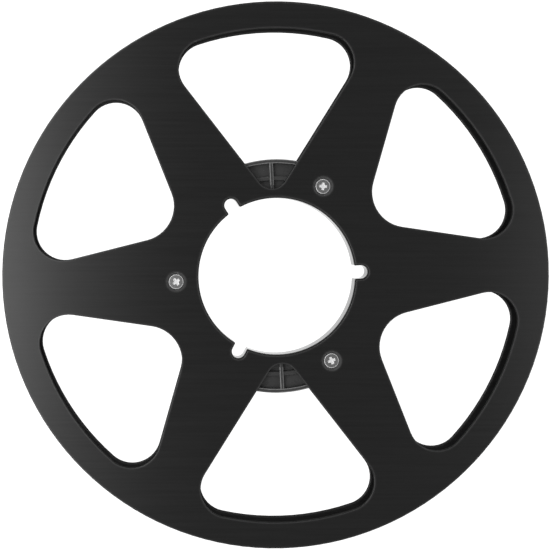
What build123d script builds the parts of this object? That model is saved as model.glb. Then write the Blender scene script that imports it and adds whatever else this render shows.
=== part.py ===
from build123d import *
from math import cos, radians, sin, sqrt
import os

# An open magnetic-tape reel lying flat: two windowed aluminium flanges screwed to the two sides
# of a moulded hub. The reel's axis is +Z and the origin is the centre of the rear outer face.

# Flanges
FLANGE_RADIUS = 266.7 / 2
FLANGE_THICKNESS = 1.5
RIM_ROUNDING = 0.65
WINDOW_ROUNDING = 0.3
BORE_ROUNDING = 0.4

# Windows: sectors with rounded corners, each centred on a ray from the axis. The side lines of
# a window stand at half_angle to that ray and would meet on it at the apex radius.
WINDOW_ARC_RADIUS = 120.35
WINDOW_CORNER = 14.0
SIDE_WINDOW = {"half_angle": 41.25, "apex": 49.6, "inner_rounding": 17.2}
DEEP_WINDOW = {"half_angle": 34.9, "apex": 37.05, "inner_rounding": 7.6}
SIDE_WINDOW_ANGLES = (30, 150, 210, 330)
DEEP_WINDOW_ANGLES = (90, 270)

# Hub, the same on both sides of its web
HUB_RADIUS = 114.3 / 2
HUB_WIDTH = 8.0
HUB_EDGE_ROUNDING = 0.5
BORE_RADIUS = 38.2
BORE_WALL = 2.2
BORE_CHAMFER = 0.2
RIM_WALL = 2.0
WEB_THICKNESS = 2.0
RIB_COUNT = 12
RIB_THICKNESS = 1.85
RIB_ROUNDING = 0.5
RIB_DROP = 0.2
RING_RIB_RADIUS = 47.9
RING_RIB_THICKNESS = 2.2
RING_RIB_DROP = 1.1
EJECTOR_MARK_RADIUS = 1.3
EJECTOR_MARK_DEPTH = 0.2
EJECTOR_MARK_CIRCLE = 52.3
EJECTOR_MARK_SPREAD = 8.5

# Key slots in the bore, which the machine's hub adapter grips
KEY_COUNT = 3
KEY_SLOT_HALF_WIDTH = 3.2
KEY_SLOT_REACH = 44.4
KEY_SLOT_CORNER = 0.6
FLANGE_SETBACK = 0.4

# Screws: short M4 cross-recessed countersunk, sunk below the flange, one in each end of a boss
SCREW_ANGLES = (60, 180, 300)
SCREW_CIRCLE = 49.2
BOSS_RADIUS = 4.9
COUNTERSINK_RADIUS = 4.8
COUNTERSINK_LAND = 0.05
CLEARANCE_HOLE_RADIUS = 2.15
HEAD_RADIUS = 3.7
HEAD_LAND = 0.15
SCREW_LENGTH = 4.0
THREAD_RADIUS = 2.0
THREAD_DEPTH = 0.38
THREAD_PITCH = 0.7
RECESS_SPAN = 4.1
RECESS_FLOOR_SPAN = 2.3
RECESS_WING = 0.95
RECESS_DEPTH = 1.9
RECESS_CORE_RADIUS = 1.05
RECESS_TIP_RADIUS = 0.45
FRONT_CROSS_TURNS = (-7, 34, 19)
REAR_CROSS_TURNS = (12, -21, 40)

# Threaded brass inserts, moulded into the bosses and shared by a front and a rear screw
INSERT_RADIUS = 3.0
INSERT_LENGTH = 5.2
INSERT_GROOVE_WIDTH = 1.0
INSERT_GROOVE_DEPTH = 0.35
INSERT_CHAMFER = 0.2
KNURL_COUNT = 20
KNURL_RADIUS = 0.2
THREAD_CLEARANCE = 0.02

# Worked out from the sizes above
REEL_THICKNESS = HUB_WIDTH + 2 * FLANGE_THICKNESS
HALF_WIDTH = HUB_WIDTH / 2
MID_HEIGHT = REEL_THICKNESS / 2
MID_PLANE = Plane.XY.offset(MID_HEIGHT)
HUB_COUNTERSINK_RADIUS = COUNTERSINK_RADIUS - FLANGE_THICKNESS
HEAD_TOP = COUNTERSINK_RADIUS - HEAD_RADIUS - HEAD_LAND
SHOULDER = HEAD_TOP + HEAD_LAND + HEAD_RADIUS - THREAD_RADIUS
SCREW_TIP = HEAD_TOP + SCREW_LENGTH
THREAD_TURNS = int((SCREW_TIP - SHOULDER) / THREAD_PITCH)
SIDES = {
    "front": {"height": REEL_THICKNESS, "facing": 1, "cross_turns": FRONT_CROSS_TURNS},
    "rear": {"height": 0, "facing": -1, "cross_turns": REAR_CROSS_TURNS},
}


def face_plane(height, facing, angle=0, radius=0, turn=0):
    """A plane facing up (1) or down (-1) at this height, at a polar place, turned about its normal."""
    place = (radius * cos(radians(angle)), radius * sin(radians(angle)), height)
    return Plane(place, x_dir=(cos(radians(turn)), sin(radians(turn)), 0), z_dir=(0, 0, facing))


def window(half_angle, apex, inner_rounding):
    """A window's outline, centred on +X: two side lines, an outer arc and three rounded corners."""
    lean = radians(half_angle)
    side = sqrt(WINDOW_ARC_RADIUS**2 - (apex * sin(lean)) ** 2) - apex * cos(lean)
    upper = (apex + side * cos(lean), side * sin(lean))
    lower = (upper[0], -upper[1])
    with BuildSketch() as outline:
        with BuildLine():
            Line((apex, 0), lower)
            ThreePointArc(lower, (WINDOW_ARC_RADIUS, 0), upper)
            Line(upper, (apex, 0))
        make_face()
        fillet(outline.vertices().group_by(Axis.X)[-1], WINDOW_CORNER)
        fillet(outline.vertices().sort_by(Axis.X)[0], inner_rounding)
    return outline.sketch


def bore_outline(growth=0):
    """The bore with its key slots, grown all round."""
    radius = BORE_RADIUS + growth
    slot_end = KEY_SLOT_REACH + growth
    with BuildSketch() as outline:
        Circle(radius)
        with PolarLocations(slot_end / 2, KEY_COUNT):
            SlotOverall(slot_end, 2 * (KEY_SLOT_HALF_WIDTH + growth))
        mouths = outline.vertices().filter_by(lambda corner: corner.center().length < radius + KEY_SLOT_CORNER)
        fillet(mouths, KEY_SLOT_CORNER)
    return outline.sketch


side_outline = window(**SIDE_WINDOW)
deep_outline = window(**DEEP_WINDOW)

os.makedirs("parts", exist_ok=True)

# The two flanges: the same plate, one facing up and one facing down
for side, layout in SIDES.items():
    outer_face = face_plane(layout["height"], layout["facing"])
    with BuildPart() as flange:
        with BuildSketch(outer_face):
            Circle(FLANGE_RADIUS)
        extrude(amount=-FLANGE_THICKNESS)
        fillet(flange.edges().filter_by(GeomType.CIRCLE), RIM_ROUNDING)

        with BuildSketch(outer_face):
            for angle in SIDE_WINDOW_ANGLES:
                add(side_outline.rotate(Axis.Z, angle))
            for angle in DEEP_WINDOW_ANGLES:
                add(deep_outline.rotate(Axis.Z, angle))
        extrude(amount=-FLANGE_THICKNESS, mode=Mode.SUBTRACT)
        fillet(flange.edges(Select.LAST).filter_by(Axis.Z, reverse=True), WINDOW_ROUNDING)

        with BuildSketch(outer_face):
            add(bore_outline(FLANGE_SETBACK))
        extrude(amount=-FLANGE_THICKNESS, mode=Mode.SUBTRACT)
        fillet(flange.edges(Select.LAST).filter_by(Axis.Z, reverse=True), BORE_ROUNDING)

        with Locations(outer_face):
            with PolarLocations(SCREW_CIRCLE, len(SCREW_ANGLES), start_angle=SCREW_ANGLES[0]):
                CounterSinkHole(
                    HUB_COUNTERSINK_RADIUS + COUNTERSINK_LAND,
                    COUNTERSINK_RADIUS,
                    depth=FLANGE_THICKNESS,
                    counter_sink_angle=90,
                )
    flange.part.label = f"{side}_flange"
    export_step(flange.part, f"parts/{flange.part.label}.step")

# The brass inserts: knurled bushes with a locking groove, one at the middle of each boss
inserts = []
for number, angle in enumerate(SCREW_ANGLES, start=1):
    middle = face_plane(MID_HEIGHT, 1, angle, SCREW_CIRCLE, turn=angle)
    with BuildPart() as insert:
        with BuildSketch(middle):
            Circle(INSERT_RADIUS)
            with PolarLocations(INSERT_RADIUS, KNURL_COUNT):
                Circle(KNURL_RADIUS, mode=Mode.SUBTRACT)
        extrude(amount=INSERT_LENGTH / 2, both=True)

        with BuildSketch(middle):
            Circle(INSERT_RADIUS + KNURL_RADIUS)
            Circle(INSERT_RADIUS - INSERT_GROOVE_DEPTH, mode=Mode.SUBTRACT)
        extrude(amount=INSERT_GROOVE_WIDTH / 2, both=True, mode=Mode.SUBTRACT)

        with BuildSketch(middle):
            Circle(THREAD_RADIUS + THREAD_CLEARANCE)
        extrude(amount=INSERT_LENGTH / 2, both=True, mode=Mode.SUBTRACT)
        chamfer(insert.edges(Select.LAST).filter_by(GeomType.CIRCLE), INSERT_CHAMFER)
    insert.part.label = f"threaded_insert_{number}"
    export_step(insert.part, f"parts/{insert.part.label}.step")
    inserts.append(insert.part)

# The hub: a turned section of rim, web and ring rib, a bore wall that follows the key slots,
# bosses for the inserts and a ring of radial ribs
with BuildPart() as hub:
    with BuildSketch(Plane.XZ):
        with Locations((HUB_RADIUS - RIM_WALL / 2, MID_HEIGHT)):
            RectangleRounded(RIM_WALL, HUB_WIDTH, HUB_EDGE_ROUNDING)
        with Locations((RING_RIB_RADIUS, MID_HEIGHT)):
            RectangleRounded(RING_RIB_THICKNESS, HUB_WIDTH - 2 * RING_RIB_DROP, RIB_ROUNDING)
        with Locations(((BORE_RADIUS + HUB_RADIUS - RIM_WALL) / 2, MID_HEIGHT)):
            Rectangle(HUB_RADIUS - RIM_WALL - BORE_RADIUS, WEB_THICKNESS)
    revolve(axis=Axis.Z)

    rib_start = BORE_RADIUS + BORE_WALL / 2
    rib_length = HUB_RADIUS - RIM_WALL / 2 - rib_start
    for rib in range(RIB_COUNT):
        spoke = radians(rib * 360 / RIB_COUNT)
        outward = (cos(spoke), sin(spoke), 0)
        with BuildSketch(Plane((rib_start * outward[0], rib_start * outward[1], MID_HEIGHT),
                               x_dir=(0, 0, 1), z_dir=outward)):
            RectangleRounded(HUB_WIDTH - 2 * RIB_DROP, RIB_THICKNESS, RIB_ROUNDING)
        extrude(amount=rib_length)

    with BuildSketch(MID_PLANE):
        add(bore_outline(BORE_WALL))
        with PolarLocations(SCREW_CIRCLE, len(SCREW_ANGLES), start_angle=SCREW_ANGLES[0]):
            Circle(BOSS_RADIUS)
    extrude(amount=HALF_WIDTH, both=True)

    with BuildSketch(MID_PLANE):
        add(bore_outline())
    extrude(amount=HALF_WIDTH, both=True, mode=Mode.SUBTRACT)
    bore_edges = hub.edges(Select.LAST).filter_by(Axis.Z, reverse=True)
    chamfer(bore_edges, BORE_CHAMFER)

    for facing in (1, -1):
        with Locations(face_plane(MID_HEIGHT + facing * HALF_WIDTH, facing)):
            with PolarLocations(SCREW_CIRCLE, len(SCREW_ANGLES), start_angle=SCREW_ANGLES[0]):
                CounterSinkHole(
                    CLEARANCE_HOLE_RADIUS,
                    HUB_COUNTERSINK_RADIUS,
                    depth=HALF_WIDTH,
                    counter_sink_angle=90,
                )
        with BuildSketch(face_plane(MID_HEIGHT + facing * WEB_THICKNESS / 2, facing)):
            for angle in SIDE_WINDOW_ANGLES + DEEP_WINDOW_ANGLES:
                with PolarLocations(EJECTOR_MARK_CIRCLE, 2, angle - EJECTOR_MARK_SPREAD,
                                    2 * EJECTOR_MARK_SPREAD, endpoint=True):
                    Circle(EJECTOR_MARK_RADIUS)
        extrude(amount=-EJECTOR_MARK_DEPTH, mode=Mode.SUBTRACT)

    for insert_part in inserts:
        add(insert_part, mode=Mode.SUBTRACT)
hub.part.label = "hub"
export_step(hub.part, "parts/hub.step")

# The screws: a turned body with a countersunk head and thread grooves, and a cross recess
for side, layout in SIDES.items():
    for number, angle in enumerate(SCREW_ANGLES, start=1):
        turn = layout["cross_turns"][number - 1]
        seat = face_plane(layout["height"], layout["facing"], angle, SCREW_CIRCLE, turn)
        lengthwise = Plane(seat.origin, x_dir=seat.x_dir, z_dir=-seat.y_dir)
        crosswise = Plane(seat.origin, x_dir=seat.y_dir, z_dir=seat.x_dir)

        outline = [(0, -HEAD_TOP), (HEAD_RADIUS, -HEAD_TOP), (HEAD_RADIUS, -HEAD_TOP - HEAD_LAND)]
        for thread_turn in range(THREAD_TURNS):
            crest = -SHOULDER - thread_turn * THREAD_PITCH
            outline.append((THREAD_RADIUS, crest))
            outline.append((THREAD_RADIUS - THREAD_DEPTH, crest - THREAD_PITCH / 2))
        outline.append((THREAD_RADIUS, -SHOULDER - THREAD_TURNS * THREAD_PITCH))
        outline.append((THREAD_RADIUS, -SCREW_TIP))
        outline.append((0, -SCREW_TIP))

        with BuildPart() as screw:
            with BuildSketch(lengthwise):
                with BuildLine():
                    Polyline(*outline, close=True)
                make_face()
            revolve(axis=Axis(seat.origin, seat.z_dir))

            with BuildSketch(lengthwise):
                with BuildLine():
                    Polyline((0, -HEAD_TOP), (RECESS_CORE_RADIUS, -HEAD_TOP),
                             (RECESS_TIP_RADIUS, -HEAD_TOP - RECESS_DEPTH),
                             (0, -HEAD_TOP - RECESS_DEPTH), close=True)
                make_face()
            revolve(axis=Axis(seat.origin, seat.z_dir), mode=Mode.SUBTRACT)

            with BuildSketch(lengthwise, crosswise):
                with BuildLine():
                    Polyline((-RECESS_SPAN / 2, -HEAD_TOP), (RECESS_SPAN / 2, -HEAD_TOP),
                             (RECESS_FLOOR_SPAN / 2, -HEAD_TOP - RECESS_DEPTH),
                             (-RECESS_FLOOR_SPAN / 2, -HEAD_TOP - RECESS_DEPTH), close=True)
                make_face()
            extrude(amount=RECESS_WING / 2, both=True, mode=Mode.SUBTRACT)
        screw.part.label = f"{side}_screw_{number}"
        export_step(screw.part, f"parts/{screw.part.label}.step")
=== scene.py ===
import math

import bmesh
import bpy
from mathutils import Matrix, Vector


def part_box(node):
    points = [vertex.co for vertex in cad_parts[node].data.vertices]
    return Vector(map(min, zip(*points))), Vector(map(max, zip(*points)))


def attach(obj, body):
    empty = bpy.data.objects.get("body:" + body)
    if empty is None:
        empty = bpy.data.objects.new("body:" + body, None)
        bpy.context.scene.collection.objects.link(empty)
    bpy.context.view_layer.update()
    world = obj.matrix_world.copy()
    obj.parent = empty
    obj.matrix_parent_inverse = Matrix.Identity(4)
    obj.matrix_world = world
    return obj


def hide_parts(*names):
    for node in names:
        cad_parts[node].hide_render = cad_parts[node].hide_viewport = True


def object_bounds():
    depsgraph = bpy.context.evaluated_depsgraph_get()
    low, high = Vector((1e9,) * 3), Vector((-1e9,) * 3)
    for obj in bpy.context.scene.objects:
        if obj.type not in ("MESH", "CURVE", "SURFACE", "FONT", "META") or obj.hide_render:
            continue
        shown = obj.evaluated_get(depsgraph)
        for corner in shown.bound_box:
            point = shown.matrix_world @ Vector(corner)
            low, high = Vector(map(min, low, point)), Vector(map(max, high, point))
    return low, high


# A tape reel lying flat on a white table, seen almost straight down. Lengths are in metres.
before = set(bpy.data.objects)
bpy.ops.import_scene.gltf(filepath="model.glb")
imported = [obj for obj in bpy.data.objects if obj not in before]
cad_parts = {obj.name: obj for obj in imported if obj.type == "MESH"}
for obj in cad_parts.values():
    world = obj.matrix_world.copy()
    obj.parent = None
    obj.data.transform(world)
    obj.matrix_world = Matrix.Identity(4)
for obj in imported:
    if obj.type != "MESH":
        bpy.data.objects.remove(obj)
cad_low, cad_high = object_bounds()

MM = 0.001
REEL_TOP = cad_high.z

# The reel is turned a little in the view, and its plates are brushed along the view's horizontal
REEL_TURN = math.radians(3.0)

# Camera, over the reel and off to one side, in the view's own directions: right, up, above the reel.
# Its lens and sensor are in mm.
CAMERA_PLACE = Vector((-49.4, 22.5, 437.4)) * MM
CAMERA_TILT = (math.radians(-1.069), math.radians(-1.074), -REEL_TURN)
CAMERA_LENS = 59.04
CAMERA_SENSOR = 36.0
CAMERA_SHIFT = (0.15, -0.05)

# Softboxes: panels side by side over the table, each with its left and right ends across the view
# and its radiance. The left ones fade towards the middle, like the feathered edge of one large box.
SOFTBOX_HEIGHT = 0.9
SOFTBOX_LENGTH = 1.6
SOFTBOXES = {
    "left": (-0.9, -0.3, 2.64),
    "left_edge": (-0.3, -0.23, 0.96),
    "left_fringe": (-0.23, -0.12, 0.32),
    "right": (0.5, 1.2, 0.59),
}
# The walls glow most at table height, and least from this angle up
HORIZON_GLOW = 1.2
CEILING_GLOW = 0.2
CEILING_ANGLE = math.radians(30)
TABLE_HALF_WIDTH = 6.0
TABLE_DROP = 0.3 * MM
TABLE_TONE = 0.25
TABLE_GLOW = 1.1

# Noise mostly keeps within the first span, and the plates' brushing, a sum of two, in the second
NOISE_SPAN = (0.3, 0.7)
BRUSHING_SPAN = (0.7, 1.3)

# The plates' faces are brushed in streaks of two sizes, each with its length, width and detail.
# Where two values are given, the surface goes from one to the other with the streaks.
STREAKS = ((30 * MM, 0.8 * MM, 2), (70 * MM, 1.6 * MM, 3))
FACE_TONE = (0.0047, 0.0063)
FACE_ROUGHNESS = (0.32, 0.40)
FACE_SPECULAR = (0.475, 0.525)
FACE_ANISOTROPY = 0.97
PLATE_IOR = 1.7

# Their cut edges are matt. An edge's look gives way to a face's between two cosines of the slope.
EDGE_TONE = 0.014
EDGE_ROUGHNESS = 0.75
EDGE_SPECULAR = 0.02
FACE_LEVELNESS = (0.55, 0.98)
# Their faces carry a painted highlight along every edge, standing in for the light the edges catch.
# The highlight is full where rounding the edge off would turn the normal so far that its cosine with
# the true one is this or less.
EDGE_HIGHLIGHT_WIDTH = 1.5 * MM
EDGE_HIGHLIGHT_TONE = 0.04
EDGE_HIGHLIGHT_COSINE = 0.96
# The anodising is thin on the countersinks, so they gleam like dull dark metal
COUNTERSINK_RADIUS = 4.85 * MM
COUNTERSINK_TONE = 0.11
COUNTERSINK_ROUGHNESS = 0.45

# The hub is satin, clouded and finely grained. Its bore and key slots lie inside the core radius,
# and are glossy, because they were moulded against a polished core. Outside it, the sloping faces of
# the rounded edges further than this height from the hub's middle plane carry a painted highlight,
# standing in for the light they catch.
HUB_CLOUDS = 9 * MM
HUB_TONE = (0.055, 0.065)
HUB_ROUGHNESS = (0.24, 0.3)
HUB_GRAIN = 0.5 * MM
HUB_GRAIN_STRENGTH = 0.12
CORE_RADIUS = 44.6 * MM
CORE_ROUGHNESS = 0.06
CORE_GRAIN_STRENGTH = 0.01
CORE_COAT = 0.2
CORE_COAT_ROUGHNESS = 0.03
HUB_EDGE_HIGHLIGHT_HEIGHT = 3.1 * MM
HUB_EDGE_HIGHLIGHT_TONE = 0.24

# The screws' zinc, from its dull patches to its bright ones: on the turned head, which also has
# fine rings, in shares of the patches' height, and near white and matt in the punched recess and on
# the rolled rim, a painted highlight standing in for the bright reflections there
HEAD_CLOUDS = 0.8 * MM
HEAD_TONE = (0.45, 0.75)
HEAD_ROUGHNESS = (0.24, 0.14)
TURNING_PITCH = 0.16 * MM
TURNING_HEIGHT = 0.3
PAINTED_GLINT_CLOUDS = 0.3 * MM
PAINTED_GLINT_TONE = (0.94, 1.0)
PAINTED_GLINT_ROUGHNESS = (0.6, 0.45)

# The inserts' brass, from clean to tarnished
TARNISH_PATCHES = 1.5 * MM
TARNISH_SPAN = (0.35, 0.7)
BRASS_CLEAN = (0.78, 0.6, 0.3, 1)
BRASS_TARNISHED = (0.55, 0.39, 0.18, 1)
BRASS_ROUGHNESS = (0.25, 0.42)
BRASS_GRAIN = 0.1 * MM

# Screws, each in its own frame with +Z out of its head, and how their crosses are turned, in degrees.
# They have this many steps round, and are sharp where their skin turns by more than this angle.
SCREW_NUMBERS = (1, 2, 3)
CROSS_TURNS = {"front": (-7, 34, 19), "rear": (12, -21, 40)}
SCREW_STEPS = 96
SHARP_ANGLE = math.radians(40)
# The recess narrows from its mouth to its floor
RECESS_DEPTH = 0.5 * MM
RECESS_MOUTH = {"reach": 1.8 * MM, "half_wing": 0.6 * MM, "core": 1.15 * MM}
RECESS_FLOOR = {"reach": 1.65 * MM, "half_wing": 0.54 * MM, "core": 1.0 * MM}
RECESS_LIP = 0.08 * MM
# Rings up the recess's wall, in shares of its depth, and over its rounded lip, in shares of the
# lip's width. The last ring lies on the flat head, and keeps it flat in smooth shading.
WALL_SHARES = (1.0, 0.75, 0.5, 0.25, 0.06)
LIP_SHARES = (0.3, 1.0, 1.4)
# The head is a little smaller than the CAD one, so that its countersink shows round it
HEAD_CLEARANCE = 0.15 * MM
# The head's rim rolls over and then slopes straight to its edge: shares of its width and its drop
RIM_WIDTH = 0.28 * MM
RIM_DROP = 0.15 * MM
RIM_PROFILE = ((0.0, 0.0), (0.15, 0.01), (0.3, 0.06), (0.45, 0.17), (1.0, 1.0))
THREAD_RADIUS = 2.0 * MM
THREAD_DEPTH = 0.38 * MM
THREAD_PITCH = 0.7 * MM
RINGS_PER_PITCH = 8
TIP_CHAMFER = 0.3 * MM


def turned(point):
    """A point given in the view's directions, in the reel's own frame."""
    cosine, sine = math.cos(REEL_TURN), math.sin(REEL_TURN)
    return Vector((point.x * cosine + point.y * sine, point.y * cosine - point.x * sine, point.z))


# Materials

def new_material(name):
    """An empty node material and its Principled BSDF."""
    material = bpy.data.materials.new(name)
    material.use_nodes = True
    return material, material.node_tree.nodes["Principled BSDF"]


def set_input(material, socket, value):
    """Gives an input a value, or links another node's output to it."""
    if isinstance(value, bpy.types.NodeSocket):
        material.node_tree.links.new(value, socket)
    else:
        socket.default_value = value


def add_node(material, kind, inputs=None, **settings):
    """A node of this kind in a material or world. inputs are values or other nodes' outputs."""
    node = material.node_tree.nodes.new(kind)
    for name, value in settings.items():
        setattr(node, name, value)
    for key, value in (inputs or {}).items():
        set_input(material, node.inputs[key], value)
    return node


def set_surface(material, surface, **values):
    """Surface inputs, named with _ for spaces, each a value or another node's output."""
    for name, value in values.items():
        set_input(material, surface.inputs[name.replace("_", " ")], value)


def arithmetic(material, operation, first, second=0.0):
    """The result of a Math node's operation on one or two values."""
    return add_node(material, "ShaderNodeMath", {0: first, 1: second}, operation=operation).outputs[0]


def rescale(material, value, span, new_span, **settings):
    """value from one end of span to the other, as the ends of new_span, and no further."""
    return add_node(material, "ShaderNodeMapRange",
                    {"Value": value, 1: span[0], 2: span[1], 3: new_span[0], 4: new_span[1]},
                    **settings).outputs[0]


def blend_values(material, share, low, high):
    """low where share is 0 and high where it is 1. Each is a value or a node's output."""
    return add_node(material, "ShaderNodeMix", {0: share, 2: low, 3: high}).outputs[0]


def grey(material, tone):
    """A colour with this much of red, green and blue."""
    return add_node(material, "ShaderNodeCombineColor", {0: tone, 1: tone, 2: tone}).outputs[0]


def place_on_object(material):
    """The place on the surface, in the object's own frame."""
    return add_node(material, "ShaderNodeTexCoord").outputs["Object"]


def noise(material, place, size, detail):
    """Cloudy noise with features of about this size."""
    return add_node(material, "ShaderNodeTexNoise",
                    {"Vector": place, "Scale": 1 / size, "Detail": detail}).outputs["Fac"]


def bumps(material, height, strength, depth):
    """The normal of a surface with bumps as high as height times depth."""
    return add_node(material, "ShaderNodeBump",
                    {"Height": height, "Strength": strength, "Distance": depth}).outputs[0]


def distance_from_axis(material, place):
    """Distance from the Z axis."""
    flat = add_node(material, "ShaderNodeVectorMath", {0: place, 1: (1, 1, 0)},
                    operation="MULTIPLY").outputs[0]
    return add_node(material, "ShaderNodeVectorMath", {0: flat}, operation="LENGTH").outputs["Value"]


def levelness(material):
    """1 on flat faces and 0 on upright walls: the cosine of the slope."""
    normal = add_node(material, "ShaderNodeTexCoord").outputs["Normal"]
    upward = add_node(material, "ShaderNodeSeparateXYZ", {0: normal}).outputs["Z"]
    return arithmetic(material, "ABSOLUTE", upward)


def facing_up(material):
    """1 on flat faces, 0 on upright walls, and in between on the rounded edges."""
    return rescale(material, levelness(material), FACE_LEVELNESS, (0.0, 1.0),
                   interpolation_type="SMOOTHSTEP")


def slanting(material):
    """1 where the slope is 45 degrees, falling to 0 on flat faces and upright walls."""
    level = levelness(material)
    upright_squared = arithmetic(material, "SUBTRACT", 1.0, arithmetic(material, "MULTIPLY", level, level))
    upright = arithmetic(material, "SQRT", upright_squared)
    return arithmetic(material, "MULTIPLY", arithmetic(material, "MULTIPLY", level, upright), 2.0)


def countersunk(material, place):
    """1 within a countersink's radius of a screw's axis, and 0 elsewhere."""
    share = 0.0
    for number in SCREW_NUMBERS:
        low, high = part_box(f"front_screw_{number}")
        from_screw = add_node(material, "ShaderNodeVectorMath", {0: place, 1: (low + high) / 2},
                              operation="SUBTRACT").outputs[0]
        distance = distance_from_axis(material, from_screw)
        inside = arithmetic(material, "LESS_THAN", distance, COUNTERSINK_RADIUS)
        share = arithmetic(material, "MAXIMUM", share, inside)
    return share


def near_edge(material, width):
    """1 on an edge, and 0 further from it than this width."""
    softened = add_node(material, "ShaderNodeBevel", {"Radius": width}, samples=8).outputs[0]
    true_normal = add_node(material, "ShaderNodeNewGeometry").outputs["Normal"]
    cosine = add_node(material, "ShaderNodeVectorMath", {0: softened, 1: true_normal},
                      operation="DOT_PRODUCT").outputs["Value"]
    return rescale(material, cosine, (EDGE_HIGHLIGHT_COSINE, 1.0), (1.0, 0.0))


def anodised_plate():
    """Black anodised aluminium, brushed in straight lines on its faces and matt on its cut edges, with a
    painted highlight along its edges.
    """
    material, surface = new_material("black_anodised_brushed")
    place = place_on_object(material)
    face = facing_up(material)
    thin = countersunk(material, place)

    def streaks(length, width, detail):
        along_brush = add_node(material, "ShaderNodeMapping",
                               {"Vector": place, "Rotation": (0, 0, -REEL_TURN),
                                "Scale": (length, width, width)}, vector_type="TEXTURE")
        return noise(material, along_brush.outputs[0], size=1.0, detail=detail)

    brushing = arithmetic(material, "ADD", *(streaks(*size) for size in STREAKS))
    # Painted highlight: the faces are made lighter along every edge
    painted_highlight = arithmetic(material, "MULTIPLY", near_edge(material, EDGE_HIGHLIGHT_WIDTH), EDGE_HIGHLIGHT_TONE)
    face_tone = rescale(material, brushing, BRUSHING_SPAN, FACE_TONE)
    tone = blend_values(material, face, EDGE_TONE, arithmetic(material, "ADD", face_tone, painted_highlight))
    face_roughness = rescale(material, brushing, BRUSHING_SPAN, FACE_ROUGHNESS)
    roughness = blend_values(material, face, EDGE_ROUGHNESS, face_roughness)
    face_specular = rescale(material, brushing, BRUSHING_SPAN, FACE_SPECULAR)
    across = turned(Vector((0, 1, 0)))
    across_brush = add_node(material, "ShaderNodeCombineXYZ", {0: across.x, 1: across.y, 2: across.z})
    set_surface(material, surface, Metallic=thin, IOR=PLATE_IOR,
                Base_Color=grey(material, blend_values(material, thin, tone, COUNTERSINK_TONE)),
                Roughness=blend_values(material, thin, roughness, COUNTERSINK_ROUGHNESS),
                Specular_IOR_Level=blend_values(material, face, EDGE_SPECULAR, face_specular),
                Normal=bumps(material, brushing, strength=0.07, depth=0.02 * MM),
                Tangent=across_brush.outputs[0],
                Anisotropic=blend_values(material, face, 0.0, FACE_ANISOTROPY))
    return material


def hub_plastic():
    """Black moulded plastic: satin and faintly grained, but glossy where the mould's core left the bore, with
    a painted highlight on its outer rounded edges.
    """
    material, surface = new_material("hub_black_plastic")
    place = place_on_object(material)
    radius = distance_from_axis(material, place)
    in_bore = arithmetic(material, "LESS_THAN", radius, CORE_RADIUS)
    off_bore = arithmetic(material, "GREATER_THAN", radius, CORE_RADIUS)
    height = add_node(material, "ShaderNodeSeparateXYZ", {0: place}).outputs["Z"]
    off_middle = arithmetic(material, "ABSOLUTE", arithmetic(material, "SUBTRACT", height, REEL_TOP / 2))
    # Painted highlight: outside the core, the slopes of edges far from the middle plane are made lighter
    outer = arithmetic(material, "GREATER_THAN", off_middle, HUB_EDGE_HIGHLIGHT_HEIGHT)
    highlighted_part = arithmetic(material, "MULTIPLY", outer, off_bore)
    painted_slope_highlight = arithmetic(material, "MULTIPLY", slanting(material), HUB_EDGE_HIGHLIGHT_TONE)
    painted_highlight = arithmetic(material, "MULTIPLY", painted_slope_highlight, highlighted_part)
    clouds = noise(material, place, HUB_CLOUDS, detail=4)
    tone = arithmetic(material, "ADD", rescale(material, clouds, NOISE_SPAN, HUB_TONE), painted_highlight)
    satin = rescale(material, clouds, NOISE_SPAN, HUB_ROUGHNESS)
    grain = noise(material, place, HUB_GRAIN, detail=3)
    grain_strength = blend_values(material, in_bore, HUB_GRAIN_STRENGTH, CORE_GRAIN_STRENGTH)
    set_surface(material, surface, Base_Color=grey(material, tone),
                Roughness=blend_values(material, in_bore, satin, CORE_ROUGHNESS),
                Normal=bumps(material, grain, grain_strength, depth=0.03 * MM),
                Coat_Weight=arithmetic(material, "MULTIPLY", in_bore, CORE_COAT),
                Coat_Roughness=CORE_COAT_ROUGHNESS)
    return material


def plated_steel():
    """Bright zinc on a turned head: fine rings about the screw's axis and slight clouding."""
    material, surface = new_material("screw_bright_zinc")
    place = place_on_object(material)
    phase = arithmetic(material, "MULTIPLY", distance_from_axis(material, place),
                       2 * math.pi / TURNING_PITCH)
    turning = arithmetic(material, "MULTIPLY", arithmetic(material, "SINE", phase), TURNING_HEIGHT)
    clouds = noise(material, place, HEAD_CLOUDS, detail=4)
    height = arithmetic(material, "ADD", turning, clouds)
    set_surface(material, surface, Metallic=1.0,
                Base_Color=grey(material, rescale(material, clouds, NOISE_SPAN, HEAD_TONE)),
                Roughness=rescale(material, clouds, NOISE_SPAN, HEAD_ROUGHNESS),
                Normal=bumps(material, height, strength=0.07, depth=0.02 * MM))
    return material


def painted_glint_zinc():
    """The punched recess and the rolled rim of a head, painted near white and matt: a painted highlight that
    stands in for the bright reflections there.
    """
    material, surface = new_material("screw_painted_glint_zinc")
    clouds = noise(material, place_on_object(material), PAINTED_GLINT_CLOUDS, detail=3)
    set_surface(material, surface, Specular_IOR_Level=1.0,
                Base_Color=grey(material, rescale(material, clouds, NOISE_SPAN, PAINTED_GLINT_TONE)),
                Roughness=rescale(material, clouds, NOISE_SPAN, PAINTED_GLINT_ROUGHNESS),
                Normal=bumps(material, clouds, strength=0.1, depth=0.03 * MM))
    return material


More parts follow.
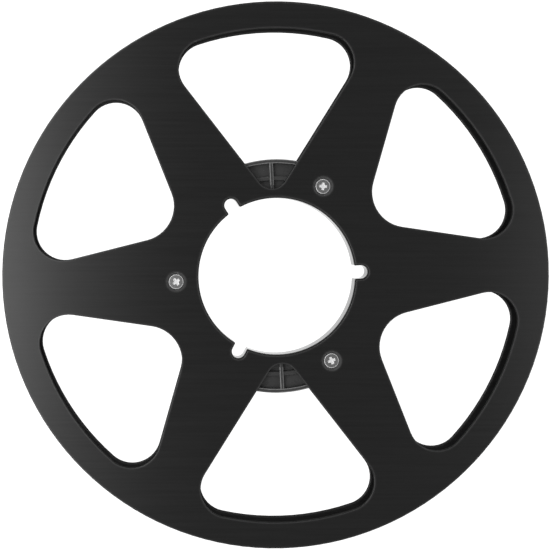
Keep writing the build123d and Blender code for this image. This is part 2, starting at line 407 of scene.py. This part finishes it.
def turned_brass():
    """Machined brass, lightly tarnished in patches."""
    material, surface = new_material("insert_brass")
    place = place_on_object(material)
    tarnish = noise(material, place, TARNISH_PATCHES, detail=5)
    grain = noise(material, place, BRASS_GRAIN, detail=2)
    colour = add_node(material, "ShaderNodeMix",
                      {"Factor": rescale(material, tarnish, TARNISH_SPAN, (0.0, 1.0)),
                       6: BRASS_CLEAN, 7: BRASS_TARNISHED}, data_type="RGBA").outputs[2]
    set_surface(material, surface, Metallic=1.0, Base_Color=colour,
                Roughness=rescale(material, tarnish, TARNISH_SPAN, BRASS_ROUGHNESS),
                Normal=bumps(material, grain, strength=0.2, depth=0.01 * MM))
    return material


# Screws

def cross_reach(angle, depth_share, grown=0.0):
    """How far the recess reaches from its middle in this direction, at a share of its depth and
    grown all round."""
    reach, half_wing, core = (
        RECESS_MOUTH[key] + (RECESS_FLOOR[key] - RECESS_MOUTH[key]) * depth_share + grown
        for key in ("reach", "half_wing", "core"))
    quarter = math.pi / 2
    off_wing = (angle + quarter / 2) % quarter - quarter / 2
    along_wing = reach / math.cos(off_wing)
    if abs(off_wing) > math.atan2(half_wing, reach):
        along_wing = half_wing / abs(math.sin(off_wing))
    return max(core, along_wing)


def thread_radius(angle, height, start, end):
    """The thread's surface: a V groove that winds down the shank, fading in below the head."""
    turn = (height / THREAD_PITCH + angle / (2 * math.pi)) % 1.0
    groove = 1 - abs(2 * turn - 1)
    fade = min(1.0, (start - height) / THREAD_PITCH)
    radius = THREAD_RADIUS - THREAD_DEPTH * groove * fade
    return min(radius, THREAD_RADIUS - TIP_CHAMFER + (height - end))


def screw_rings(head_radius, length):
    """Rings of (radius, height) from the recess's floor out over the head and down to the tip.
    Each is marked true where the skin from it to the next ring is the zinc with the painted highlight."""
    angles = [2 * math.pi * step / SCREW_STEPS for step in range(SCREW_STEPS)]
    rings = [(True, [(cross_reach(angle, share), -RECESS_DEPTH * share) for angle in angles])
             for share in WALL_SHARES]
    for share in LIP_SHARES:
        drop = RECESS_LIP * max(0.0, 1 - share) ** 2
        rings.append((False, [(cross_reach(angle, 0, RECESS_LIP * share), -drop) for angle in angles]))
    # The rim's rolled part, up to its straight slope, takes the zinc with the painted highlight
    for across, down in RIM_PROFILE:
        place = (head_radius - RIM_WIDTH * (1 - across), -RIM_DROP * down)
        rings.append((across < 1, [place] * SCREW_STEPS))
    shoulder = -RIM_DROP - (head_radius - THREAD_RADIUS)
    turns = (length + shoulder) / THREAD_PITCH
    levels = math.ceil(turns * RINGS_PER_PITCH)
    for level in range(levels + 1):
        height = shoulder + (-length - shoulder) * level / levels
        rings.append((False, [(thread_radius(angle, height, shoulder, -length), height) for angle in angles]))
    return rings


def screw_mesh(name, head_radius, length):
    """A closed skin over the rings. The zinc with the painted highlight is the second material."""
    rings = screw_rings(head_radius, length)
    build = bmesh.new()
    loops = []
    for _, ring in rings:
        loop = []
        for step, (radius, height) in enumerate(ring):
            angle = 2 * math.pi * step / SCREW_STEPS
            loop.append(build.verts.new((radius * math.cos(angle), radius * math.sin(angle), height)))
        loops.append(loop)
    floor = build.verts.new((0, 0, -RECESS_DEPTH - RECESS_LIP))
    tip = build.verts.new((0, 0, -length))
    for step in range(SCREW_STEPS):
        after = (step + 1) % SCREW_STEPS
        build.faces.new((floor, loops[0][step], loops[0][after])).material_index = 1
        build.faces.new((tip, loops[-1][after], loops[-1][step]))
        for (painted_glint, _), inner, outer in zip(rings, loops, loops[1:]):
            face = build.faces.new((inner[step], outer[step], outer[after], inner[after]))
            face.material_index = int(painted_glint)
    mesh = bpy.data.meshes.new(name)
    bmesh.ops.recalc_face_normals(build, faces=build.faces)
    build.to_mesh(mesh)
    build.free()
    mesh.shade_smooth()
    mesh.set_sharp_from_angle(angle=SHARP_ANGLE)
    return mesh


def add_screw(side, number, finishes):
    """A detailed screw in place of the CAD one, with its head where that one's is."""
    node = f"{side}_screw_{number}"
    low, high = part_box(node)
    middle = (low + high) / 2
    name = f"{node}_cross_recessed"
    mesh = screw_mesh(name, (high.x - low.x) / 2 - HEAD_CLEARANCE, high.z - low.z)
    for finish in finishes:
        mesh.materials.append(finish)
    screw = bpy.data.objects.new(name, mesh)
    turn = math.radians(CROSS_TURNS[side][number - 1])
    if side == "front":
        screw.location = (middle.x, middle.y, high.z)
        screw.rotation_euler = (0, 0, turn)
    else:
        screw.location = (middle.x, middle.y, low.z)
        screw.rotation_euler = (math.pi, 0, turn)
    bpy.context.scene.collection.objects.link(screw)
    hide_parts(node)
    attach(screw, "root")


screw_finishes = (plated_steel(), painted_glint_zinc())
node_finishes = {"flange": anodised_plate(), "hub": hub_plastic(), "insert": turned_brass(),
                 "screw": screw_finishes[0]}
for name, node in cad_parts.items():
    node.data.materials.clear()
    node.data.materials.append(next(finish for word, finish in node_finishes.items() if word in name))
for side in CROSS_TURNS:
    for number in SCREW_NUMBERS:
        add_screw(side, number, screw_finishes)


# Studio

def table():
    """A white table that glows a little, so that it stays plain white."""
    material, surface = new_material("table_white")
    set_surface(material, surface, Base_Color=(TABLE_TONE, TABLE_TONE, TABLE_TONE, 1), Roughness=1.0,
                Specular_IOR_Level=0.0, Emission_Color=(1, 1, 1, 1), Emission_Strength=TABLE_GLOW)
    corners = [(x * TABLE_HALF_WIDTH, y * TABLE_HALF_WIDTH, -TABLE_DROP)
               for x, y in ((-1, -1), (1, -1), (1, 1), (-1, 1))]
    mesh = bpy.data.meshes.new("table")
    mesh.from_pydata(corners, [], [(0, 1, 2, 3)])
    mesh.materials.append(material)
    plane = bpy.data.objects.new("table", mesh)
    bpy.context.scene.collection.objects.link(plane)


def softbox(name, left, right, radiance):
    """A panel that faces down over the table, from one place to another across the view."""
    light = bpy.data.lights.new(name, "AREA")
    light.shape = "RECTANGLE"
    light.size, light.size_y = right - left, SOFTBOX_LENGTH
    light.energy = radiance * math.pi * light.size * light.size_y
    lamp = bpy.data.objects.new(name, light)
    lamp.location = turned(Vector(((left + right) / 2, 0, SOFTBOX_HEIGHT)))
    lamp.rotation_euler = (0, 0, -REEL_TURN)
    bpy.context.scene.collection.objects.link(lamp)


def studio_walls():
    """Pale walls, bright at table height and dim overhead."""
    world = bpy.data.worlds.new("studio")
    bpy.context.scene.world = world
    world.use_nodes = True
    direction = add_node(world, "ShaderNodeTexCoord").outputs["Generated"]
    height = add_node(world, "ShaderNodeSeparateXYZ", {0: direction}).outputs["Z"]
    glow = rescale(world, height, (0.0, math.sin(CEILING_ANGLE)), (HORIZON_GLOW, CEILING_GLOW))
    background = world.node_tree.nodes["Background"]
    set_surface(world, background, Color=(1, 1, 1, 1), Strength=glow)


def add_camera():
    """The camera, at the photograph's viewing angle."""
    lens = bpy.data.cameras.new("camera")
    lens.sensor_width = CAMERA_SENSOR
    lens.lens = CAMERA_LENS
    lens.shift_x, lens.shift_y = CAMERA_SHIFT
    camera = bpy.data.objects.new("camera", lens)
    camera.location = turned(CAMERA_PLACE) + Vector((0, 0, REEL_TOP))
    camera.rotation_mode = "YXZ"
    camera.rotation_euler = CAMERA_TILT
    bpy.context.scene.collection.objects.link(camera)
    bpy.context.scene.camera = camera


table()
for name, (left, right, radiance) in SOFTBOXES.items():
    softbox(f"softbox_{name}", left, right, radiance)
studio_walls()
add_camera()
bpy.context.scene.view_settings.view_transform = "Standard"
